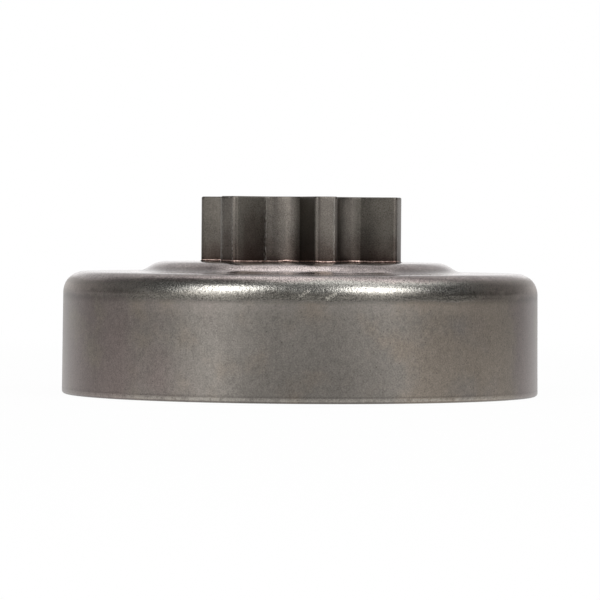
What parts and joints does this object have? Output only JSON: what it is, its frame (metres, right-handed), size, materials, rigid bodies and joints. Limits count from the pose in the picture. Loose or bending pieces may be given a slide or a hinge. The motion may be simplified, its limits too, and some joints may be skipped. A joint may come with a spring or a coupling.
{
  "type": "chainsaw clutch drum with spur sprocket",
  "caption": "Pressed steel clutch drum, open at the bottom, with a spur sprocket brazed to its raised boss to drive a saw chain.",
  "frame": {"origin": "centre of the drum's open rim, in the plane that it rests on", "axes": "+Z along the axis of turning, from the open rim towards the sprocket; +X through the middle of one tooth"},
  "size_m": [0.071, 0.071, 0.0294],
  "materials": {
    "drum_steel": "satin grey-brown pressed and heat-treated steel, worn silvery on the shoulder",
    "sprocket_steel": "dark sintered steel, unpolished, with brighter tooth corners",
    "braze_copper": "dull copper braze, oxidised brown"
  },
  "bodies": {
    "root": {"clutch_drum": "drum_steel", "spur_sprocket": "sprocket_steel", "braze_fillet": "braze_copper"}
  },
  "joints": []
}
